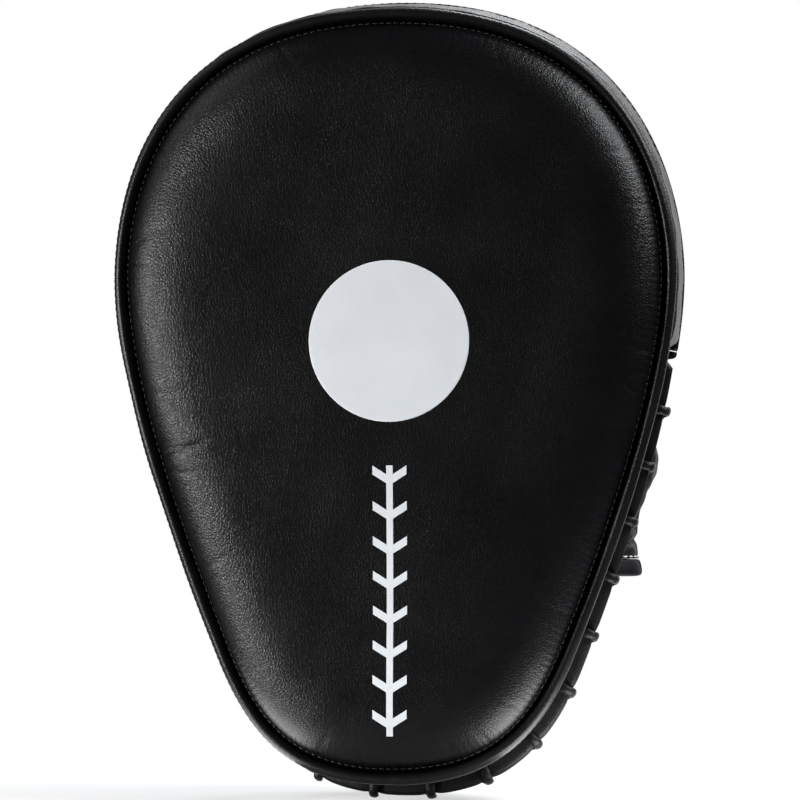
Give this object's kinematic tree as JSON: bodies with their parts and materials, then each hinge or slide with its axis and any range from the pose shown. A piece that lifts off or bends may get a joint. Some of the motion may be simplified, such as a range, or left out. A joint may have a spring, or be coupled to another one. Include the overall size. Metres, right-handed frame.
{
  "type": "focus mitt",
  "caption": "Black leather punching focus mitt with a hollow pear-shaped striking face and white target, and behind it a finger hood, thumb stall, palm ball and wrist strap.",
  "frame": {"origin": "palm centre on the outer surface of the rear panel", "axes": "+Z toward the fingertips, -Y out of the striking face, +X toward the thumb side of the right hand"},
  "size_m": [0.1942, 0.1, 0.2752],
  "materials": {
    "striking_face": "smooth fine-grained black leather, soft sheen",
    "target_disc": "matt white print",
    "face_mark": "matt white print",
    "impact_foam": "soft closed-cell foam",
    "core_foam": "dense moulded foam",
    "backing_board": "firm foam board",
    "edge_lip": "rolled black leather, glossy",
    "side_wall": "black leather",
    "rear_panel": "black leather",
    "edge_lace": "round black leather lace",
    "palm_lining": "brushed black lining",
    "hood_side_band": "padded black leather",
    "hood_cover": "black leather",
    "hood_foam": "soft foam",
    "hood_lining": "black knitted lining",
    "hood_binding": "black leather binding",
    "palm_ball_cover": "black leather",
    "palm_ball_core": "dense foam",
    "thumb_shell": "black leather",
    "thumb_padding": "lined soft foam",
    "thumb_binding": "black leather binding",
    "thumb_anchor_strip": "black leather",
    "strap_band": "black leather",
    "strap_cushion": "lined soft foam",
    "hook_patch": "black hook tape",
    "strap_pull_tab": "black leather",
    "strap_tongue": "black leather",
    "loop_patch": "black loop tape",
    "strap_root_tab": "black leather, stitched down",
    "tongue_root_tab": "black leather, stitched down",
    "wrist_cushion": "lined soft foam"
  },
  "bodies": {
    "pad": {"striking_face": "striking_face", "target_disc": "target_disc", "face_mark": "face_mark", "impact_foam": "impact_foam", "core_foam": "core_foam", "backing_board": "backing_board", "edge_lip": "edge_lip", "side_wall": "side_wall", "rear_panel": "rear_panel", "edge_lace": "edge_lace", "palm_lining": "palm_lining", "hood_side_band": "hood_side_band", "hood_cover": "hood_cover", "hood_foam": "hood_foam", "hood_lining": "hood_lining", "hood_binding": "hood_binding", "palm_ball_cover": "palm_ball_cover", "palm_ball_core": "palm_ball_core", "thumb_shell": "thumb_shell", "thumb_padding": "thumb_padding", "thumb_binding": "thumb_binding", "thumb_anchor_strip": "thumb_anchor_strip", "strap_tongue": "strap_tongue", "loop_patch": "loop_patch", "strap_root_tab": "strap_root_tab", "tongue_root_tab": "tongue_root_tab", "wrist_cushion": "wrist_cushion"},
    "strap": {"strap_band": "strap_band", "strap_cushion": "strap_cushion", "hook_patch": "hook_patch", "strap_pull_tab": "strap_pull_tab"}
  },
  "joints": [
    {"name": "strap_open", "type": "hinge", "parent": "pad", "child": "strap", "pos_m": [-0.0429, 0.00379, -0.06511], "axis": [0, 0.0935, 0.9956], "range_deg": [0, 95]}
  ]
}
